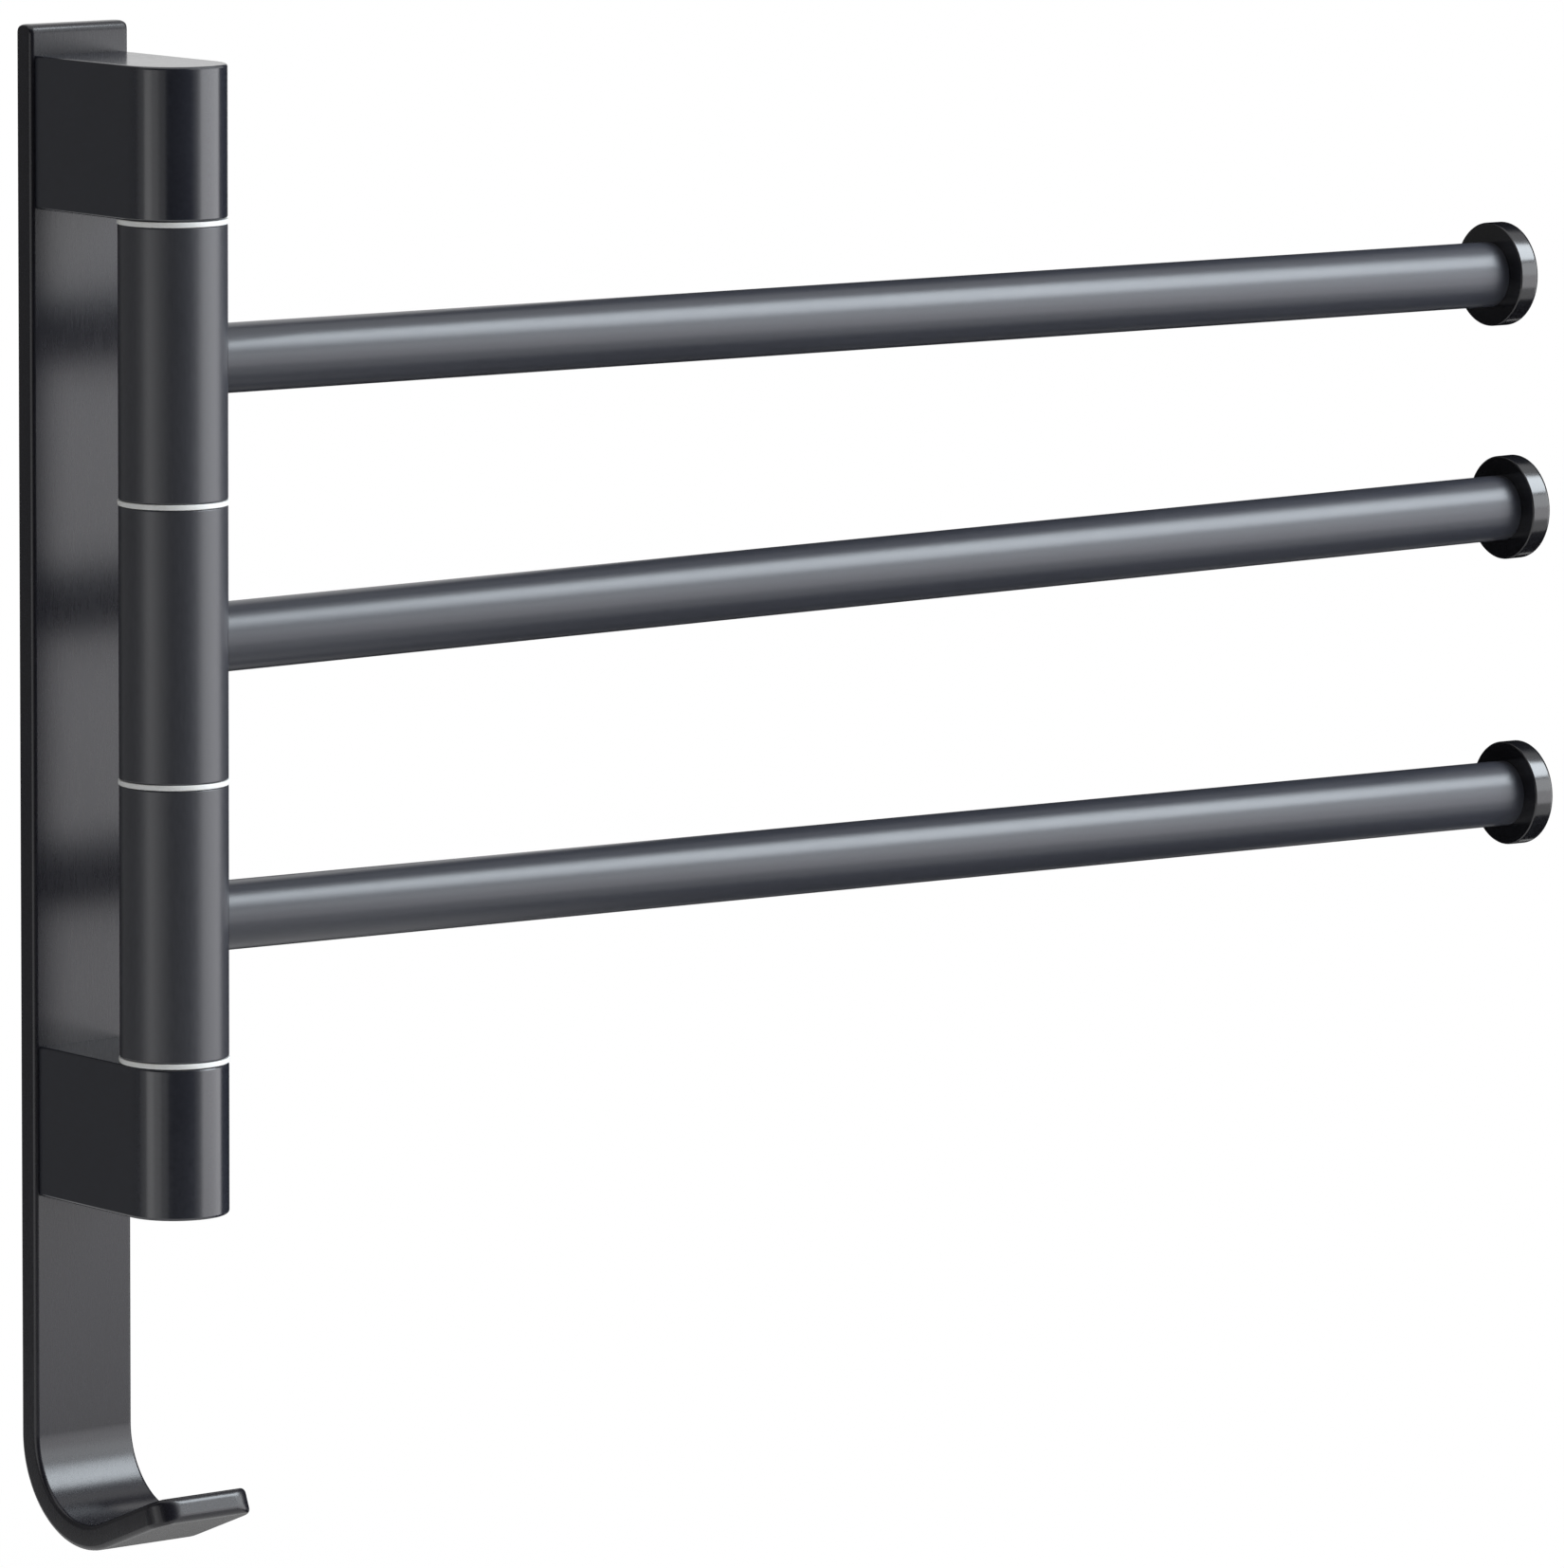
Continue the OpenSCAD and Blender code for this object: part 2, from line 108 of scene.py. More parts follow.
def tint(tree, surface, value, dark, light, low, high):
    """Colours a surface from dark to light as a value goes from low to high."""
    tone = tree.nodes.new("ShaderNodeValToRGB")
    tone.color_ramp.elements[0].position = low
    tone.color_ramp.elements[1].position = high
    tone.color_ramp.elements[0].color = dark + [1]
    tone.color_ramp.elements[1].color = light + [1]
    tree.links.new(value, tone.inputs["Fac"])
    tree.links.new(tone.outputs["Color"], surface.inputs["Base Color"])


def roughen(tree, surface, value, least, most, low=0, high=1):
    """Makes a surface rougher as a value goes from low to high."""
    sheen = tree.nodes.new("ShaderNodeMapRange")
    sheen.inputs["From Min"].default_value = low
    sheen.inputs["From Max"].default_value = high
    sheen.inputs["To Min"].default_value = least
    sheen.inputs["To Max"].default_value = most
    tree.links.new(value, sheen.inputs["Value"])
    tree.links.new(sheen.outputs["Result"], surface.inputs["Roughness"])


def raise_grain(tree, surface, value, height):
    """Gives a surface a fine relief of the pattern's own shape."""
    bump = tree.nodes.new("ShaderNodeBump")
    bump.inputs["Strength"].default_value = 1
    bump.inputs["Distance"].default_value = height
    tree.links.new(value, bump.inputs["Height"])
    tree.links.new(bump.outputs["Normal"], surface.inputs["Normal"])


def coated(name, colour, shade, roughness, grain, grain_height, gloss, stretch=(1, 1, 1)):
    """Paint or powder coat: a cloudy tone, a fine grain and a roughness that wanders a little."""
    m, tree, surface, where = new_finish(name, stretch)
    surface.inputs["Specular IOR Level"].default_value = gloss
    cloud = mottle(tree, where, scale=38, detail=4)
    fine = mottle(tree, where, scale=grain, detail=3)
    both = sum_of(tree, "MULTIPLY_ADD", fine, 0.5, sum_of(tree, "MULTIPLY", cloud, 0.5))
    dark = [c * (1 - shade) for c in colour]
    light = [c * (1 + shade) for c in colour]
    tint(tree, surface, both, dark, light, low=0.3, high=0.7)
    roughen(tree, surface, both, roughness * 0.88, roughness * 1.12, low=0.3, high=0.7)
    raise_grain(tree, surface, fine, grain_height)
    return m


def piece(name, verts, faces, material):
    """A mesh object at the origin, its doubles merged, smooth except where faces meet sharply."""
    mesh = bpy.data.meshes.new(name)
    mesh.from_pydata([tuple(v) for v in verts], [], [tuple(f) for f in faces])
    b = bmesh.new()
    b.from_mesh(mesh)
    bmesh.ops.remove_doubles(b, verts=b.verts, dist=1e-7)
    bmesh.ops.dissolve_degenerate(b, edges=b.edges, dist=1e-7)
    bmesh.ops.recalc_face_normals(b, faces=b.faces)
    b.to_mesh(mesh)
    b.free()
    obj = bpy.data.objects.new(name, mesh)
    bpy.context.scene.collection.objects.link(obj)
    mesh.materials.append(material)
    smooth(obj)
    return obj


def smooth(obj, crease=35):
    """Smooth shading, except at edges sharper than the crease angle in degrees."""
    obj.data.polygons.foreach_set("use_smooth", [True] * len(obj.data.polygons))
    obj.data.set_sharp_from_angle(angle=math.radians(crease))


def settled(obj):
    """Swaps an object's modifiers for the mesh that they make."""
    seen = obj.evaluated_get(bpy.context.evaluated_depsgraph_get())
    mesh = bpy.data.meshes.new_from_object(seen)
    obj.modifiers.clear()
    obj.data = mesh
    mesh.name = obj.name
    return obj


def even_shading(obj, crease=35):
    """Lets the large faces set the normals, so that flats stay flat beside their rounded edges."""
    smooth(obj, crease)
    even = obj.modifiers.new("Even shading", "WEIGHTED_NORMAL")
    even.keep_sharp = True
    even.weight = 80
    return settled(obj)


def cut(obj, *cutters):
    """Cuts each cutter's shape out of a piece, then removes the cutters."""
    for cutter in cutters:
        bite = obj.modifiers.new("Cut", "BOOLEAN")
        bite.operation = "DIFFERENCE"
        bite.solver = "EXACT"
        bite.object = cutter
    settled(obj)
    while len(obj.data.materials) > 1:
        obj.data.materials.pop()
    for cutter in cutters:
        bpy.data.objects.remove(cutter)
    return obj


def rounded_section(half_w, half_t, r, steps=6):
    """Corner points of a rounded rectangle, anticlockwise."""
    r = min(r, half_w, half_t)
    corners = ((1, 1, 0), (-1, 1, 90), (-1, -1, 180), (1, -1, 270))
    points = []
    for sx, sy, start in corners:
        for k in range(steps):
            a = math.radians(start + 90 * k / (steps - 1))
            points.append((sx * (half_w - r) + r * math.cos(a), sy * (half_t - r) + r * math.sin(a)))
    return points


def stacked(rings):
    """Joins rings of equal length with quads and closes both ends."""
    n = len(rings[0])
    verts = [p for ring in rings for p in ring]
    faces = [tuple(range(n))[::-1], tuple(range(len(verts) - n, len(verts)))]
    for k in range(len(rings) - 1):
        for i in range(n):
            j = (i + 1) % n
            faces.append((k * n + i, k * n + j, (k + 1) * n + j, (k + 1) * n + i))
    return verts, faces


def drawn_in(depth, r):
    """How far a rounding of radius r draws an outline in, at a depth below its end."""
    return r - math.sqrt(max(r * r - max(r - depth, 0) ** 2, 0))


def closed_faces(ring_count, steps):
    """Quads from each ring of points to the next, and from the last ring to the first."""
    faces = []
    for p in range(ring_count):
        q = (p + 1) % ring_count
        for k in range(steps):
            j = (k + 1) % steps
            faces.append((p * steps + k, p * steps + j, q * steps + j, q * steps + k))
    return faces


def turned(profile, steps=96):
    """Turns a profile of (height, radius) points about Z. It closes on itself, as a bored piece does."""
    verts = []
    for h, r in profile:
        for k in range(steps):
            a = 2 * math.pi * k / steps
            verts.append((r * math.cos(a), r * math.sin(a), h))
    return verts, closed_faces(len(profile), steps)


def arc(centre_h, centre_r, radius, start, end, steps=6):
    """Points of a rounding in a turned profile; angles in degrees from the outward radius."""
    angles = [math.radians(start + (end - start) * k / (steps - 1)) for k in range(steps)]
    return [(centre_h + radius * math.sin(a), centre_r + radius * math.cos(a)) for a in angles]


def placed(shape, matrix):
    """A (verts, faces) shape set where a matrix puts it."""
    verts, faces = shape
    return [matrix @ Vector(v) for v in verts], faces


# Axes of a bore that runs out from the wall, and of one that runs along the wall
out_of_wall = Matrix.Rotation(math.radians(90), 4, "X")
along_wall = Matrix.Rotation(math.radians(90), 4, "Y")

plate_black = coated(
    "plate_black",
    (0.0125, 0.012, 0.0165),
    shade=0.22,
    roughness=0.27,
    grain=1800,
    grain_height=0.00035 * mm,
    gloss=0.5,
    stretch=(1, 1, 0.1),
)

# The straight blank, as a stack of sections: close together at its rounded ends and where it is bent
bend_mid_r = bend_inner_r + plate_t / 2
bend_foot_z = bend_start_z - bend_mid_r * bend_angle
blank_foot_z = bend_foot_z - lip_len
rounding_steps = [math.sin(math.radians(a)) for a in range(0, 91, 6)]
end_depths = {plate_end_r * (1 - s) for s in rounding_steps}
lip_depths = {lip_corner_r * (1 - s) for s in rounding_steps}
head_depths = sorted(end_depths)
foot_depths = sorted(end_depths | lip_depths)
bend_steps = 64
stations = [(plate_top_z - d, d, plate_corner_r) for d in head_depths]
stations += [
    (bend_start_z + (bend_foot_z - bend_start_z) * k / bend_steps, lip_len, lip_corner_r)
    for k in range(bend_steps + 1)
]
stations += [(blank_foot_z + d, d, lip_corner_r) for d in reversed(foot_depths)]
rings = []
for z, depth, corner_r in stations:
    half_w = plate_w / 2 - drawn_in(depth, corner_r)
    half_t = plate_t / 2 - drawn_in(depth, plate_end_r)
    section = rounded_section(half_w, half_t, plate_edge_r)
    rings.append([(x, y - plate_t / 2, z) for x, y in section])
back_plate = piece("towel_bar_back_plate", *stacked(rings), plate_black)

over = 1 * mm
slots = []
mouths = []
for side in (-1, 1):
    z = side * wall_screw_spacing / 2
    dovetail = [
        (slot_root_half, over),
        (slot_root_half, 0),
        (slot_half, -slot_slope_depth),
        (slot_half, -slot_depth),
        (-slot_half, -slot_depth),
        (-slot_half, -slot_slope_depth),
        (-slot_root_half, 0),
        (-slot_root_half, over),
    ]
    slots.append([[(x, y, z + h) for x, y in dovetail] for h in (-clip_h / 2, clip_h / 2)])
    mouth = [(slot_half, over), (slot_half, -slot_depth), (-slot_half, -slot_depth), (-slot_half, over)]
    mouths.append([[(x, y, z + h) for x, y in mouth] for h in (-1.5 * clip_h, -clip_h / 2)])


def joined(parts):
    """Gathers several (verts, faces) shapes into one."""
    verts, faces = [], []
    for v, f in parts:
        faces += [[i + len(verts) for i in face] for face in f]
        verts += list(v)
    return verts, faces


def stepped(sections, steps=48):
    """A closed stack of circles along Z, from (height, radius) pairs."""
    turns = [2 * math.pi * k / steps for k in range(steps)]
    return stacked([[(r * math.cos(a), r * math.sin(a), h) for a in turns] for h, r in sections])


def cylinder(r, start, end, steps=48):
    """A plain cylinder along Z."""
    return stepped([(start, r), (end, r)], steps)


screw_holes = []
grub_holes = []
bracket_screw_places = []
for side in (-1, 1):
    for end in (-1, 1):
        z = side * bracket_mid_z + end * bracket_screw_spacing / 2
        bracket_screw_places.append((0, 0, z))
        sink = stepped([
            (-over, bracket_screw_sink_r),
            (0, bracket_screw_sink_r),
            (bracket_screw_sink_h, bracket_screw_hole_r),
            (plate_t + over, bracket_screw_hole_r),
        ])
        at_screw = Matrix.Translation((0, 0, z)) @ out_of_wall
        screw_holes.append(placed(sink, at_screw))
    hole = cylinder(grub_hole_r, slot_root_half, plate_w)
    at_grub = Matrix.Translation((0, grub_y, side * wall_screw_spacing / 2)) @ along_wall
    grub_holes.append(placed(hole, at_grub))
cut(
    back_plate,
    piece("cut_slots", *joined([stacked(s) for s in slots]), plate_black),
    piece("cut_mouths", *joined([stacked(m) for m in mouths]), plate_black),
    piece("cut_screw_holes", *joined(screw_holes), plate_black),
    piece("cut_grub_holes", *joined(grub_holes), plate_black),
)

# The bending tool: Geometry Nodes that wrap the blank round the mandrel below the bend's start
bend = bpy.data.node_groups.new("Bend round the mandrel", "GeometryNodeTree")
bend.interface.new_socket("Blank", in_out="INPUT", socket_type="NodeSocketGeometry")
bend_inputs = {}
for label in ("Bend start", "Inner radius", "Thickness", "Angle"):
    socket = bend.interface.new_socket(label, in_out="INPUT", socket_type="NodeSocketFloat")
    bend_inputs[label] = socket.identifier
socket = bend.interface.new_socket("Finish", in_out="INPUT", socket_type="NodeSocketMaterial")
bend_inputs["Finish"] = socket.identifier
bend.interface.new_socket("Hook", in_out="OUTPUT", socket_type="NodeSocketGeometry")
given = bend.nodes.new("NodeGroupInput")
where = bend.nodes.new("GeometryNodeInputPosition")
split = bend.nodes.new("ShaderNodeSeparateXYZ")
bend.links.new(where.outputs["Position"], split.inputs["Vector"])
start_z = given.outputs["Bend start"]
turn_angle = given.outputs["Angle"]
middle_r = sum_of(
    bend, "MULTIPLY_ADD", given.outputs["Thickness"], 0.5, given.outputs["Inner radius"]
)
axis_y = sum_of(bend, "ADD", given.outputs["Thickness"], given.outputs["Inner radius"])
drop = sum_of(bend, "SUBTRACT", start_z, split.outputs["Z"])
past = sum_of(bend, "MAXIMUM", drop, 0.0)
above = sum_of(bend, "MINIMUM", drop, 0.0)
wrap = sum_of(bend, "MINIMUM", sum_of(bend, "DIVIDE", past, middle_r), turn_angle)
bend_len = sum_of(bend, "MULTIPLY", middle_r, turn_angle)
beyond = sum_of(bend, "MAXIMUM", sum_of(bend, "SUBTRACT", past, bend_len), 0.0)
reach = sum_of(bend, "ADD", split.outputs["Y"], axis_y)
cos_wrap = sum_of(bend, "COSINE", wrap)
sin_wrap = sum_of(bend, "SINE", wrap)
round_y = sum_of(bend, "SUBTRACT", sum_of(bend, "MULTIPLY", reach, cos_wrap), axis_y)
bent_y = sum_of(bend, "SUBTRACT", round_y, sum_of(bend, "MULTIPLY", beyond, sin_wrap))
round_drop = sum_of(bend, "MULTIPLY", reach, sin_wrap)
whole_drop = sum_of(bend, "ADD", round_drop, sum_of(bend, "MULTIPLY", beyond, cos_wrap))
bent_z = sum_of(bend, "SUBTRACT", sum_of(bend, "SUBTRACT", start_z, above), whole_drop)
gather = bend.nodes.new("ShaderNodeCombineXYZ")
bend.links.new(split.outputs["X"], gather.inputs["X"])
bend.links.new(bent_y, gather.inputs["Y"])
bend.links.new(bent_z, gather.inputs["Z"])
shift = bend.nodes.new("GeometryNodeSetPosition")
bend.links.new(given.outputs["Blank"], shift.inputs["Geometry"])
bend.links.new(gather.outputs["Vector"], shift.inputs["Position"])


def finish_tree(tree, geometry, given, output):
    """Ends a tree in Realize Instances and Set Material."""
    real = tree.nodes.new("GeometryNodeRealizeInstances")
    paint = tree.nodes.new("GeometryNodeSetMaterial")
    result = tree.nodes.new("NodeGroupOutput")
    tree.links.new(geometry, real.inputs["Geometry"])
    tree.links.new(real.outputs["Geometry"], paint.inputs["Geometry"])
    tree.links.new(given.outputs["Finish"], paint.inputs["Material"])
    tree.links.new(paint.outputs["Geometry"], result.inputs[output])


finish_tree(bend, shift.outputs["Geometry"], given, "Hook")
bender = back_plate.modifiers.new("Bend", "NODES")
bender.node_group = bend
bender[bend_inputs["Bend start"]] = bend_start_z
bender[bend_inputs["Inner radius"]] = bend_inner_r
bender[bend_inputs["Thickness"]] = plate_t
bender[bend_inputs["Angle"]] = bend_angle
bender[bend_inputs["Finish"]] = plate_black
settled(back_plate)
even_shading(back_plate, 40)
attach(back_plate, "wall_unit")
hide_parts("back_plate")

# BRACKETS
# Two solid steel blocks whose fronts are turned round the pivot. Enamelled in gloss black before the
# bores are reamed: a blind seat for the rod above, a through bore with a wider mouth for its plug below.

sleeve_r = 12.5 * mm
pivot_y = -42 * mm
bracket_back_y = -6.04 * mm
bracket_edge_r = 0.7 * mm
rod_seat_r = 4.04 * mm
rod_seat_len = 24 * mm
plug_bore_r = 6.04 * mm
plug_bore_len = 9.04 * mm
screw_seat_len = 11 * mm
edge_steps = (0, 0.06, 0.2, 0.42, 0.7, 1)
front_steps = 64

bracket_black = coated(
    "bracket_black",
    (0.021, 0.0224, 0.030),
    shade=0.1,
    roughness=0.2,
    grain=900,
    grain_height=0.0006 * mm,
    gloss=0.75,
)


def bracket(name, mid_z, bores):
    """A bracket's block, rounded at its top and bottom edges, with its bores cut."""
    rings = []
    levels = [bracket_edge_r * s for s in edge_steps]
    foot = [(h - bracket_h / 2, drawn_in(h, bracket_edge_r)) for h in levels]
    head = [(-h, inset) for h, inset in reversed(foot)]
    for h, inset in foot + head:
        r = sleeve_r - inset
        ring = [(r, bracket_back_y, mid_z + h), (-r, bracket_back_y, mid_z + h)]
        for k in range(front_steps + 1):
            a = math.pi + math.pi * k / front_steps
            ring.append((r * math.cos(a), pivot_y + r * math.sin(a), mid_z + h))
        rings.append(ring)
    block = piece(name, *stacked(rings), bracket_black)
    cut(block, piece("cut_bores", *joined(bores), bracket_black))
    return even_shading(block)


def screw_seats(mid_z):
    """The two blind screw holes in a bracket's back."""
    seats = []
    for end in (-1, 1):
        seat = cylinder(bracket_screw_hole_r, -over, screw_seat_len)
        z = mid_z + end * bracket_screw_spacing / 2
        at_seat = Matrix.Translation((0, bracket_back_y, z)) @ out_of_wall
        seats.append(placed(seat, at_seat))
    return seats


at_pivot = Matrix.Translation((0, pivot_y, 0))
rod_seat = cylinder(rod_seat_r, stack_half - over, stack_half + rod_seat_len)
rod_bore = stepped([
    (-stack_half - bracket_h - over, plug_bore_r),
    (-stack_half - bracket_h + plug_bore_len, plug_bore_r),
    (-stack_half - bracket_h + plug_bore_len, rod_seat_r),
    (-stack_half + over, rod_seat_r),
])
for name, mid_z, bore in (
    ("upper_bracket", bracket_mid_z, rod_seat),
    ("lower_bracket", -bracket_mid_z, rod_bore),
):
    bores = screw_seats(mid_z) + [placed(bore, at_pivot)]
    block = bracket("towel_bar_" + name, mid_z, bores)
    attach(block, "wall_unit")
    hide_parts(name)

# FASTENERS OF THE BRACKETS AND THE PLATE
# Four countersunk socket screws hold the brackets from behind the plate, and two small socket set
# screws in the plate's right edge lock it on its wall clips. All are zinc plated steel.

# A hexagon's flats lie this share of its corners' distance from its middle
flat_share = math.cos(math.pi / 6)
screw_r = 2 * mm
screw_len = 14 * mm
screw_head_r = 3.8 * mm
screw_head_h = 2.2 * mm
screw_socket_r = 1.25 * mm / flat_share
screw_sink = 0.04 * mm
grub_r = 1.5 * mm
grub_start_x = 8.04 * mm
grub_end_x = 13.25 * mm
grub_socket_r = 0.75 * mm / flat_share


def metal(name, colour, roughness, scratch, stretch, depth):
    """Bare or plated metal, with fine tool marks stretched along one way."""
    m, tree, surface, where = new_finish(name, stretch)
    surface.inputs["Metallic"].default_value = 1
    marks = mottle(tree, where, scale=scratch, detail=5)
    dark = [c * 0.82 for c in colour]
    light = [min(c * 1.1, 1) for c in colour]
    tint(tree, surface, marks, dark, light, low=0.3, high=0.75)
    roughen(tree, surface, marks, roughness * 0.7, roughness * 1.3)
    raise_grain(tree, surface, marks, depth)
    return m


plated_steel = metal(
    "plated_steel", (0.50, 0.51, 0.54), roughness=0.34, scratch=700, stretch=(1, 1, 1), depth=0.006 * mm
)

# One tree sets copies of a pattern piece at the points of a mesh: the screws and the washers use it
setter = bpy.data.node_groups.new("Set at points", "GeometryNodeTree")
setter.interface.new_socket("Places", in_out="INPUT", socket_type="NodeSocketGeometry")
setter_inputs = {}
for label, kind in (("Pattern", "Object"), ("Turn", "Rotation"), ("Finish", "Material")):
    socket = setter.interface.new_socket(label, in_out="INPUT", socket_type="NodeSocket" + kind)
    setter_inputs[label] = socket.identifier
setter.interface.new_socket("Set", in_out="OUTPUT", socket_type="NodeSocketGeometry")
given = setter.nodes.new("NodeGroupInput")
pattern = setter.nodes.new("GeometryNodeObjectInfo")
copies = setter.nodes.new("GeometryNodeInstanceOnPoints")
setter.links.new(given.outputs["Pattern"], pattern.inputs["Object"])
setter.links.new(given.outputs["Places"], copies.inputs["Points"])
setter.links.new(pattern.outputs["Geometry"], copies.inputs["Instance"])
setter.links.new(given.outputs["Turn"], copies.inputs["Rotation"])
finish_tree(setter, copies.outputs["Instances"], given, "Set")


def set_at(name, pattern_piece, places, turn, finish):
    """Repeats a pattern piece at some places, as one plain mesh, and removes the pattern."""
    mesh = bpy.data.meshes.new(name)
    mesh.from_pydata(places, [], [])
    obj = bpy.data.objects.new(name, mesh)
    bpy.context.scene.collection.objects.link(obj)
    row = obj.modifiers.new("Set", "NODES")
    row.node_group = setter
    row[setter_inputs["Pattern"]] = pattern_piece
    row[setter_inputs["Turn"]] = turn
    row[setter_inputs["Finish"]] = finish
    settled(obj)
    bpy.data.objects.remove(pattern_piece)
    return even_shading(obj)


def hexagon_socket(r, start, end):
    """The hole for a hexagon key, by its corners' distance from its middle."""
    return cylinder(r, start, end, 6)


screw_edge = 0.15 * mm
screw_sections = [
    (0, screw_head_r - 2 * screw_edge),
    (screw_edge / 2, screw_head_r - screw_edge / 2),
    (screw_edge, screw_head_r - screw_edge),
    (screw_head_h, screw_r),
    (screw_len - 2 * screw_edge, screw_r),
    (screw_len, screw_r - 2 * screw_edge),
]
screw = piece("screw_pattern", *stepped(screw_sections, 48), plated_steel)
cut(screw, piece("cut_socket", *hexagon_socket(screw_socket_r, -over, screw_head_h), plated_steel))
seats = [(x, y - screw_sink, z) for x, y, z in bracket_screw_places]
from_wall = (math.radians(90), 0, 0)
bracket_screws = set_at("towel_bar_bracket_screws", screw, seats, from_wall, plated_steel)
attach(bracket_screws, "wall_unit")
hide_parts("bracket_screws")

grub_len = grub_end_x - grub_start_x
grub_sections = [
    (0, grub_r - 3 * screw_edge),
    (2 * screw_edge, grub_r),
    (grub_len - screw_edge, grub_r),
    (grub_len, grub_r - screw_edge),
]
grub = piece("grub_pattern", *stepped(grub_sections, 40), plated_steel)
socket = hexagon_socket(grub_socket_r, grub_len / 2, grub_len + over)
cut(grub, piece("cut_socket", *socket, plated_steel))
grub_places = [(grub_start_x, grub_y, side * wall_screw_spacing / 2) for side in (-1, 1)]
to_right = (0, math.radians(90), 0)
grubs = set_at("towel_bar_lock_grub_screws", grub, grub_places, to_right, plated_steel)
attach(grubs, "wall_unit")
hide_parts("lock_grub_screws")

# WALL CLIPS
# Two short dovetail bars of zinc plated steel, each screwed to the wall. Only their faces in the
# plate's back show, so the plain blocks stay and get the fasteners' finish.

for name in ("upper_wall_clip", "lower_wall_clip"):
    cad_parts[name].data.materials.clear()
    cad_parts[name].data.materials.append(plated_steel)

# PIVOT
# A ground steel rod passes down through the sleeves into its seat. A threaded plug with a hexagon
# socket closes the bore below, and four white nylon washers part the sleeves and the brackets.

plug_r = 6 * mm
plug_len = 8 * mm
plug_chamfer = 0.6 * mm
plug_foot_z = -130.65 * mm
plug_socket_r = 2.5 * mm / flat_share
bore_r = 4.05 * mm
washer_r = 12.7 * mm
washer_t = 1.2 * mm
washer_edge_r = 0.25 * mm
washer_count = 4
arm_pitch = 64 * mm

bright_steel = metal(
    "bright_steel", (0.55, 0.56, 0.58), roughness=0.2, scratch=500, stretch=(1, 1, 0.05), depth=0.004 * mm
)
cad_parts["pivot_rod"].data.materials.clear()
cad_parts["pivot_rod"].data.materials.append(bright_steel)

plug_sections = [
    (0, plug_r - plug_chamfer),
    (plug_chamfer, plug_r),
    (plug_len - plug_chamfer, plug_r),
    (plug_len, plug_r - plug_chamfer),
]
at_plug = Matrix.Translation((0, pivot_y, plug_foot_z))
rod_plug = piece("towel_bar_rod_plug", *placed(stepped(plug_sections, 72), at_plug), plated_steel)
socket = placed(hexagon_socket(plug_socket_r, -over, plug_len / 2), at_plug)
cut(rod_plug, piece("cut_socket", *socket, plated_steel))
even_shading(rod_plug)
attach(rod_plug, "wall_unit")
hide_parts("rod_plug")


def nylon(name, colour):
    """Natural nylon: milky, slightly mottled, with a soft turned surface."""
    m = coated(name, colour, shade=0.04, roughness=0.42, grain=650, grain_height=0.008 * mm, gloss=0.4)
    surface = m.node_tree.nodes["Principled BSDF"]
    surface.inputs["Subsurface Weight"].default_value = 0.15
    surface.inputs["Subsurface Radius"].default_value = (2 * mm, 1.8 * mm, 1.5 * mm)
    return m


white_nylon = nylon("white_nylon", (0.80, 0.80, 0.78))
rim = washer_r - washer_edge_r
washer_profile = [(-washer_t / 2, bore_r)]
washer_profile += arc(washer_edge_r - washer_t / 2, rim, washer_edge_r, -90, 0)
washer_profile += arc(washer_t / 2 - washer_edge_r, rim, washer_edge_r, 0, 90)
washer_profile += [(washer_t / 2, bore_r)]
# Counted from the top: each lies halfway between two sleeves, or between a sleeve and a bracket
for number in range(1, washer_count + 1):
    z = ((washer_count + 1) / 2 - number) * arm_pitch
    washer = piece("washer_pattern", *turned(washer_profile), white_nylon)
    washer = set_at("towel_bar_pivot_washer_%d" % number, washer, [(0, pivot_y, z)], (0, 0, 0), white_nylon)
    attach(washer, "wall_unit")
    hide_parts("pivot_washer_%d" % number)

# ARMS
# Each arm is a tube on a turned sleeve. A plug in the tube's root screws into the sleeve, the tube's
# end is shaped to sit on the round sleeve, and a moulded cap with a wider head closes its far end.

sleeve_len = 62.7 * mm
sleeve_edge_r = 0.4 * mm
sleeve_bore_r = 7.09 * mm
stud_hole_r = 4.04 * mm
tube_r = 8 * mm
tube_bore_r = 6.8 * mm
tube_len = 386.96 * mm
tube_seat_r = 12.54 * mm
cap_x = 387 * mm
cap_r = 12.75 * mm
cap_t = 5.75 * mm
cap_inner_edge_r = 0.4 * mm
cap_edge_r = 1.2 * mm
spigot_r = 6.76 * mm
spigot_bore_r = 4.76 * mm
spigot_len = 14 * mm
arm_places = {
    "top": (arm_pitch, 2.6, 0),
    "middle": (0, 3.5, 1),
    "bottom": (-arm_pitch, 3.9, 0),
}

sleeve_black = coated(
    "sleeve_black",
    (0.041, 0.042, 0.050),
    shade=0.1,
    roughness=0.34,
    grain=1800,
    grain_height=0.0009 * mm,
    gloss=0.65,
    stretch=(1, 1, 0.2),
)
tube_black = coated(
    "tube_black",
    (0.036, 0.038, 0.048),
    shade=0.1,
    roughness=0.32,
    grain=1800,
    grain_height=0.0009 * mm,
    gloss=0.5,
    stretch=(0.2, 1, 1),
)
cap_black = coated(
    "cap_black",
    (0.010, 0.010, 0.012),
    shade=0.15,
    roughness=0.17,
    grain=900,
    grain_height=0.0006 * mm,
    gloss=0.65,
)
bush_nylon = nylon("bush_nylon", (0.75, 0.74, 0.70))
bare_aluminium = metal(
    "bare_aluminium", (0.72, 0.73, 0.74), roughness=0.32, scratch=260, stretch=(1, 1, 14), depth=0.008 * mm
)

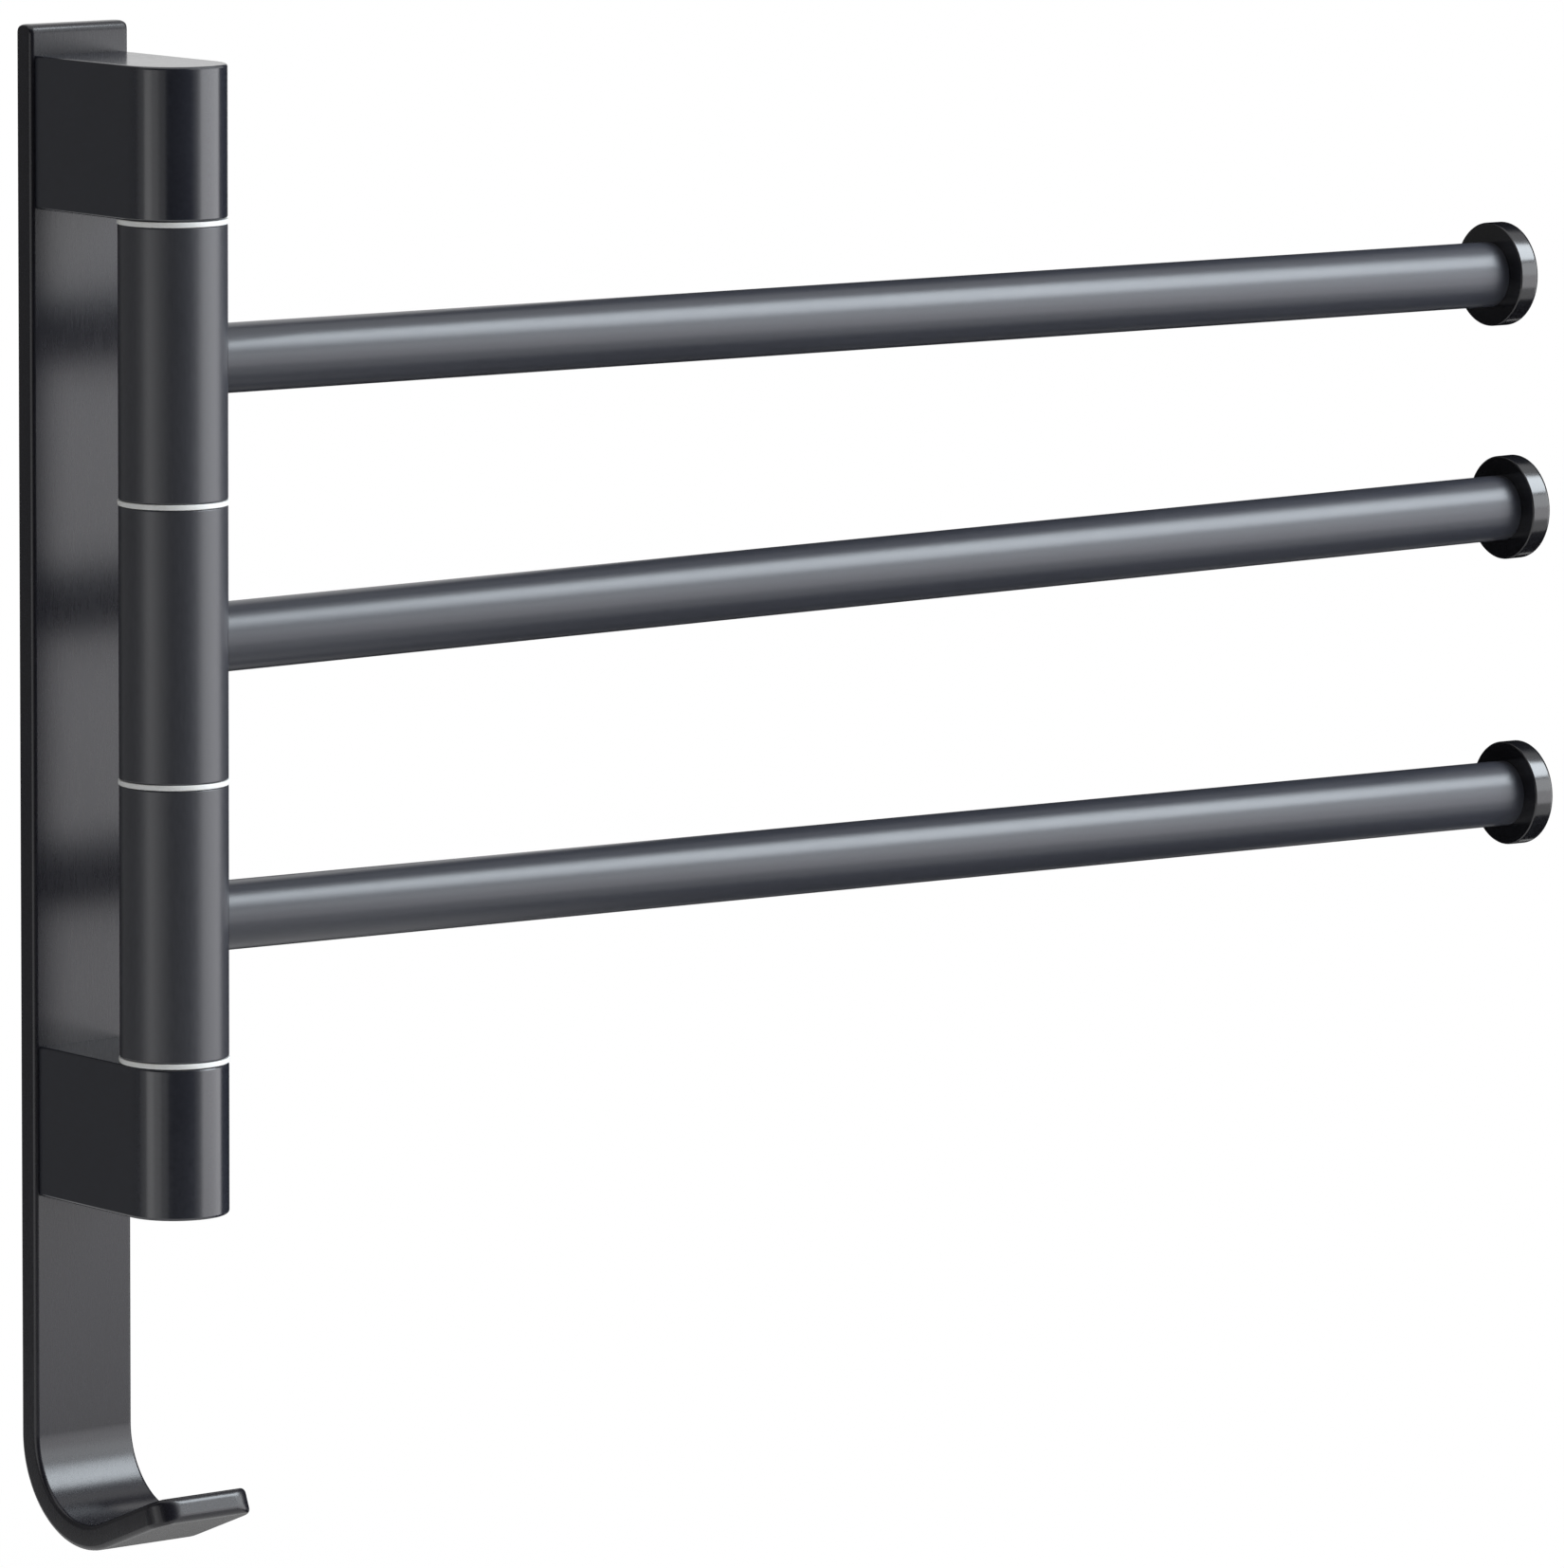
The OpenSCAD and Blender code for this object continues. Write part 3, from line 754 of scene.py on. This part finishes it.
sleeve_rim = sleeve_r - sleeve_edge_r
sleeve_profile = [(-sleeve_len / 2, sleeve_bore_r)]
sleeve_profile += arc(sleeve_edge_r - sleeve_len / 2, sleeve_rim, sleeve_edge_r, -90, 0)
sleeve_profile += arc(sleeve_len / 2 - sleeve_edge_r, sleeve_rim, sleeve_edge_r, 0, 90)
sleeve_profile += [(sleeve_len / 2, sleeve_bore_r)]

cap_profile = [(cap_x - spigot_len, spigot_bore_r), (cap_x - spigot_len, spigot_r), (cap_x, spigot_r)]
cap_profile += arc(cap_x + cap_inner_edge_r, cap_r - cap_inner_edge_r, cap_inner_edge_r, -90, 0)
cap_profile += arc(cap_x + cap_t - cap_edge_r, cap_r - cap_edge_r, cap_edge_r, 0, 90, 10)
cap_profile += [(cap_x + cap_t, 0), (cap_x, 0), (cap_x, spigot_bore_r)]


def tube_mesh(arm_matrix, steps=96):
    """A tube along the arm, its root cut to the round of the sleeve."""
    way = (arm_matrix.to_3x3() @ Vector((1, 0, 0))).normalized()
    clear_x = sleeve_r + tube_r
    rings = []
    for r in (tube_r, tube_bore_r):
        root = []
        for k in range(steps):
            a = 2 * math.pi * k / steps
            p = arm_matrix @ Vector((0, r * math.cos(a), r * math.sin(a)))
            # Where a line along the arm meets the seat, which is round about the pivot
            px, py = p.x, p.y - pivot_y
            qa = way.x * way.x + way.y * way.y
            qb = px * way.x + py * way.y
            qc = px * px + py * py - tube_seat_r * tube_seat_r
            along = (-qb + math.sqrt(qb * qb - qa * qc)) / qa
            root.append(Vector((along, r * math.cos(a), r * math.sin(a))))
        past_sleeve = [Vector((clear_x, v.y, v.z)) for v in root]
        far = [Vector((tube_len, v.y, v.z)) for v in root]
        rings.append([root, past_sleeve, far])
    loop = rings[0] + rings[1][::-1]
    verts = [arm_matrix @ v for ring in loop for v in ring]
    return verts, closed_faces(len(loop), steps)


for arm, (z, swing, tilt) in arm_places.items():
    body = arm + "_arm"
    at_arm = (
        Matrix.Translation((0, pivot_y, z))
        @ Matrix.Rotation(math.radians(-swing), 4, "Z")
        @ Matrix.Rotation(math.radians(-tilt), 4, "Y")
    )
    along_arm = at_arm @ along_wall

    at_sleeve = Matrix.Translation((0, pivot_y, z))
    body_of_sleeve = placed(turned(sleeve_profile, 128), at_sleeve)
    sleeve = piece("towel_bar_%s_arm_sleeve" % arm, *body_of_sleeve, sleeve_black)
    stud_hole = placed(cylinder(stud_hole_r, 0, 2 * sleeve_r), along_arm)
    cut(sleeve, piece("cut_stud_hole", *stud_hole, sleeve_black))
    even_shading(sleeve)
    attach(sleeve, body)
    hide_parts(body + "_sleeve")

    tube = piece("towel_bar_%s_arm_tube" % arm, *tube_mesh(at_arm), tube_black)
    even_shading(tube)
    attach(tube, body)
    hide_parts(body + "_tube")

    cap = piece("towel_bar_%s_arm_end_cap" % arm, *placed(turned(cap_profile), along_arm), cap_black)
    even_shading(cap)
    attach(cap, body)
    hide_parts(body + "_end_cap")

    for name, finish in (
        ("_upper_bush", bush_nylon),
        ("_lower_bush", bush_nylon),
        ("_root_plug", bare_aluminium),
    ):
        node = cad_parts[body + name]
        node.data.materials.clear()
        node.data.materials.append(finish)

# STUDIO
# A pale floor below the object and white all round. Three soft boxes light it from the front right,
# one above the other, and black, grey and white cards stand where only its gloss mirrors them.

floor_z = -0.45
floor_half = 1.3
fade_start = 0.7
floor_glow = 0.42
surround_strength = 0.38
floor_paint = bpy.data.materials.new("floor_white")
floor = piece(
    "studio_floor",
    [(sx * floor_half, sy * floor_half, floor_z) for sx, sy in ((-1, -1), (1, -1), (1, 1), (-1, 1))],
    [(0, 1, 2, 3)],
    floor_paint,
)


def ray_is(tree, *kinds):
    """One for rays of the given kinds, and nought for all others."""
    path = tree.nodes.new("ShaderNodeLightPath")
    found = 0.0
    for kind in kinds:
        found = sum_of(tree, "MAXIMUM", path.outputs["Is %s Ray" % kind], found)
    return found


def either(tree, choice, first, second):
    """The first shader where the choice is nought, the second where it is one."""
    mix = tree.nodes.new("ShaderNodeMixShader")
    tree.links.new(choice, mix.inputs["Fac"])
    tree.links.new(first, mix.inputs[1])
    tree.links.new(second, mix.inputs[2])
    return mix.outputs["Shader"]


def glowing(tree, strength):
    """White light of a strength that is a number or a socket."""
    glow = tree.nodes.new("ShaderNodeEmission")
    glow.inputs["Color"].default_value = (1, 1, 1, 1)
    if isinstance(strength, (int, float)):
        glow.inputs["Strength"].default_value = strength
    else:
        tree.links.new(strength, glow.inputs["Strength"])
    return glow.outputs["Emission"]


# The camera sees the lit floor, shadow and all, raised to white, and plain white further off. The
# gloss sees it plain white, and from below the camera looks through it.
floor_paint.use_nodes = True
tree = floor_paint.node_tree
pale = tree.nodes["Principled BSDF"]
pale.inputs["Base Color"].default_value = (0.8, 0.8, 0.8, 1)
pale.inputs["Roughness"].default_value = 0.9
for_camera = ray_is(tree, "Camera")
raised = tree.nodes.new("ShaderNodeAddShader")
tree.links.new(pale.outputs["BSDF"], raised.inputs[0])
tree.links.new(glowing(tree, sum_of(tree, "MULTIPLY", for_camera, floor_glow)), raised.inputs[1])
place = tree.nodes.new("ShaderNodeTexCoord")
away = tree.nodes.new("ShaderNodeVectorMath")
away.operation = "LENGTH"
tree.links.new(place.outputs["Object"], away.inputs[0])
far_off = tree.nodes.new("ShaderNodeMapRange")
far_off.interpolation_type = "SMOOTHSTEP"
far_off.inputs["From Min"].default_value = fade_start
far_off.inputs["From Max"].default_value = floor_half
tree.links.new(away.outputs["Value"], far_off.inputs["Value"])
faded = sum_of(tree, "MULTIPLY", far_off.outputs["Result"], for_camera)
mirrored = ray_is(tree, "Glossy", "Transmission")
plain_white = sum_of(tree, "MAXIMUM", faded, mirrored)
top_side = either(tree, plain_white, raised.outputs["Shader"], glowing(tree, 1))
side = tree.nodes.new("ShaderNodeNewGeometry")
from_below = sum_of(tree, "MULTIPLY", side.outputs["Backfacing"], for_camera)
clear = tree.nodes.new("ShaderNodeBsdfTransparent")
floor_look = either(tree, from_below, top_side, clear.outputs["BSDF"])
tree.links.new(floor_look, tree.nodes["Material Output"].inputs["Surface"])

world = bpy.data.worlds.new("studio")
bpy.context.scene.world = world
world.use_nodes = True
tree = world.node_tree
surround = tree.nodes["Background"]
surround.inputs["Color"].default_value = (1, 1, 1, 1)
surround.inputs["Strength"].default_value = surround_strength
white = tree.nodes.new("ShaderNodeBackground")
white.inputs["Color"].default_value = (1, 1, 1, 1)
white.inputs["Strength"].default_value = 1
shown = ray_is(tree, "Camera", "Glossy", "Transmission")
world_look = either(tree, shown, surround.outputs["Background"], white.outputs["Background"])
tree.links.new(world_look, tree.nodes["World Output"].inputs["Surface"])


object_middle = Vector((0.15, -0.05, 0))
lamp_distance = 1.5


def towards(azimuth, elevation, distance):
    """A point some way off, by degrees round the object from its front and above its middle."""
    a, e = math.radians(azimuth), math.radians(elevation)
    way = Vector((math.sin(a) * math.cos(e), -math.cos(a) * math.cos(e), math.sin(e)))
    return object_middle + way * distance


def soft_lamp(name, power, size, azimuth, elevation, colour):
    """A rectangular soft box that faces the object's middle."""
    light = bpy.data.lights.new(name, "AREA")
    light.shape = "RECTANGLE"
    light.size, light.size_y = size
    light.energy = power
    light.color = colour
    lamp = bpy.data.objects.new(name, light)
    place = towards(azimuth, elevation, lamp_distance)
    lamp.location = place
    lamp.rotation_euler = (object_middle - place).to_track_quat("-Z", "Y").to_euler()
    bpy.context.scene.collection.objects.link(lamp)


soft_lamp("key box", 23, (0.8, 0.85), azimuth=50, elevation=40, colour=(0.86, 0.935, 1))
soft_lamp("middle box", 7.3, (1.55, 0.5), azimuth=47, elevation=11, colour=(0.93, 0.965, 1))
soft_lamp("low box", 6.0, (1.55, 0.65), azimuth=48, elevation=-11, colour=(0.97, 0.96, 1))


def reflected_card(name, corners, brightness):
    """A card that only the gloss mirrors: black at nought, white at one. Lamps and camera pass it."""
    paint = bpy.data.materials.new(name)
    paint.use_nodes = True
    bsdf = paint.node_tree.nodes["Principled BSDF"]
    bsdf.inputs["Base Color"].default_value = (0, 0, 0, 1)
    bsdf.inputs["Specular IOR Level"].default_value = 0
    bsdf.inputs["Emission Color"].default_value = (1, 1, 1, 1)
    bsdf.inputs["Emission Strength"].default_value = brightness
    card = piece(name, corners, [(0, 1, 2, 3)], paint)
    card.visible_camera = False
    card.visible_diffuse = False
    card.visible_shadow = False


def standing_card(name, start, end, distance, low, high, brightness=0):
    """A card that stands between two bearings round the object, from one height to another."""
    a = towards(start, 0, distance)
    b = towards(end, 0, distance)
    corners = [(a.x, a.y, low), (b.x, b.y, low), (b.x, b.y, high), (a.x, a.y, high)]
    reflected_card(name, corners, brightness)


def flat_card(name, across, up, brightness=0):
    """A card between two corners: level if they are at one height, else parallel to the wall."""
    x, y, z = across
    u, v, w = up
    if z == w:
        corners = [(x, y, z), (u, y, z), (u, v, z), (x, v, z)]
    else:
        corners = [(x, y, z), (u, y, z), (u, y, w), (x, y, w)]
    reflected_card(name, corners, brightness)


card_distance = 1.3
card_foot = -0.8
card_split = 0.12
card_head = 1.4
behind_y = 0.22
below_z = -0.44
standing_card("card_left", -180, -110, card_distance, card_foot, card_head, 0.16)
standing_card("card_left_grey", -110, -96, card_distance, card_foot, card_head, 0.42)
standing_card("card_left_bright", -96, -82, card_distance, card_foot, card_split, 1.6)
standing_card("card_left_high", -96, -54, card_distance, card_split, card_head)
standing_card("card_front_grey", -68, -54, card_distance, card_foot, card_split, 0.5)
standing_card("card_front", -54, 2, card_distance, card_foot, card_head)
standing_card("card_front_edge", 2, 12, card_distance, card_foot, card_head, 0.35)
standing_card("card_right", 79, 112, 1.6, card_foot, 1.5)
flat_card("card_behind", (0.35, behind_y, -0.36), (1.3, behind_y, 0.11))
flat_card("card_behind_hook", (0.02, behind_y, -0.36), (0.35, behind_y, -0.06))
flat_card("card_behind_bend", (0.02, behind_y, -0.06), (0.27, behind_y, 0.03))
flat_card("card_above", (0.33, behind_y, 0.11), (1.3, behind_y, 0.75))
flat_card("card_below", (0.34, -0.42, below_z), (1.25, behind_y, below_z))
flat_card("card_under_lip", (0.1, behind_y, below_z), (0.7, 0.65, below_z), 0.5)

# A white card before the upper bracket's top, which would mirror a soft box when seen from behind
reflected_card(
    "card_by_bracket_top",
    [(0, -0.153, 0.135), (0.12, -0.033, 0.135), (0.12, -0.033, 0.235), (0, -0.153, 0.235)],
    1,
)

# CAMERA
# A long lens from the left, a little above, as the photograph has it. Its place, turn and length of
# lens were fitted to lengths that were measured on the photograph.

photo_w = 1650
photo_h = 1654
focal_px = 12087.3
azimuth = math.radians(-38.876)
pitch = math.radians(7.888)
roll = math.radians(0.293)
distance = 2.6429
aim_across = 0.16488
aim_z = -0.03649
forward = Vector((
    -math.sin(azimuth) * math.cos(pitch),
    math.cos(azimuth) * math.cos(pitch),
    -math.sin(pitch),
))
across = Vector((math.cos(azimuth), math.sin(azimuth), 0))
upward = across.cross(forward)
right = across * math.cos(roll) + upward * math.sin(roll)
top = upward * math.cos(roll) - across * math.sin(roll)
lens = bpy.data.cameras.new("camera")
lens.sensor_width = 36
lens.lens = lens.sensor_width * focal_px / max(photo_w, photo_h)
lens.clip_start = 0.1
lens.clip_end = 50
camera = bpy.data.objects.new("camera", lens)
camera.matrix_world = Matrix((right, top, -forward)).transposed().to_4x4()
camera.location = across * aim_across + Vector((0, 0, aim_z)) - forward * distance
bpy.context.scene.collection.objects.link(camera)
bpy.context.scene.camera = camera
bpy.context.scene.view_settings.view_transform = "Standard"
